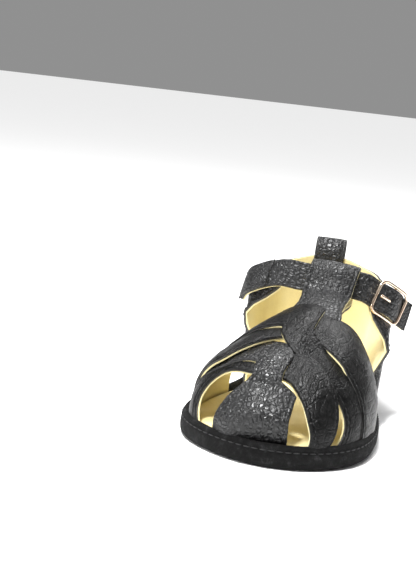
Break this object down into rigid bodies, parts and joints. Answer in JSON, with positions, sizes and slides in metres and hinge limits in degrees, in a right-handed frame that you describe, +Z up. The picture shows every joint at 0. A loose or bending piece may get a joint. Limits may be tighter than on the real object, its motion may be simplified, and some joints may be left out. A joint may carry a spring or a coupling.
{
  "type": "strappy infant sandal",
  "caption": "Left infant sandal with a woven closed toe, T-bar, soft sole and a buckle-trimmed ankle strap that opens.",
  "frame": {"origin": "on the underside of the sole, below its middle, where the sandal stands", "axes": "+Z up, -Y towards the toe, +Y towards the heel, +X towards the outer side with the buckle"},
  "size_m": [0.0677, 0.1206, 0.0562],
  "materials": {
    "black_leather": "soft pebbled black leather, low sheen",
    "cream_lining": "cream textile lining",
    "twill_binding": "black diagonal twill tape",
    "footbed_fabric": "cream soft footbed cloth",
    "foam": "soft closed-cell foam",
    "outsole_rubber": "thin soft dark sole with a fine grip",
    "hook_tape": "black hook fastener tape",
    "loop_tape": "black loop fastener tape",
    "buckle_metal": "polished pale gold plated metal"
  },
  "bodies": {
    "upper_and_sole": {"outsole": "outsole_rubber", "foam_midsole": "foam", "footbed": "footbed_fabric", "sole_binding": "twill_binding", "cross_strap_front_lining": "cream_lining", "cross_strap_front_leather": "black_leather", "cross_strap_rear_lining": "cream_lining", "cross_strap_rear_leather": "black_leather", "instep_tongue_lining": "cream_lining", "instep_tongue_leather": "black_leather", "toe_tongue_lining": "cream_lining", "toe_tongue_leather": "black_leather", "inner_quarter_lining": "cream_lining", "inner_quarter_leather": "black_leather", "outer_quarter_lining": "cream_lining", "outer_quarter_leather": "black_leather", "ankle_strap_lining": "cream_lining", "ankle_strap_leather": "black_leather", "tbar_loop_lining": "cream_lining", "tbar_loop_leather": "black_leather", "strap_anchor_tab": "black_leather", "loop_patch": "loop_tape", "heel_pull_loop": "black_leather"},
    "strap_flap": {"closing_flap_leather": "black_leather", "closing_flap_lining": "cream_lining", "hook_patch": "hook_tape", "buckle_frame": "buckle_metal"},
    "prong": {"buckle_prong": "buckle_metal"}
  },
  "joints": [
    {"name": "strap_flap_hinge", "type": "hinge", "parent": "upper_and_sole", "child": "strap_flap", "pos_m": [0.01542, 0.01726, 0.04571], "axis": [-0.1606, -0.3211, -0.9333], "range_deg": [0, 95]},
    {"name": "prong_pivot", "type": "hinge", "parent": "strap_flap", "child": "prong", "pos_m": [0.02555, 0.02437, 0.0399], "axis": [0.2663, 0.4112, 0.8718], "range_deg": [0, 75]}
  ]
}
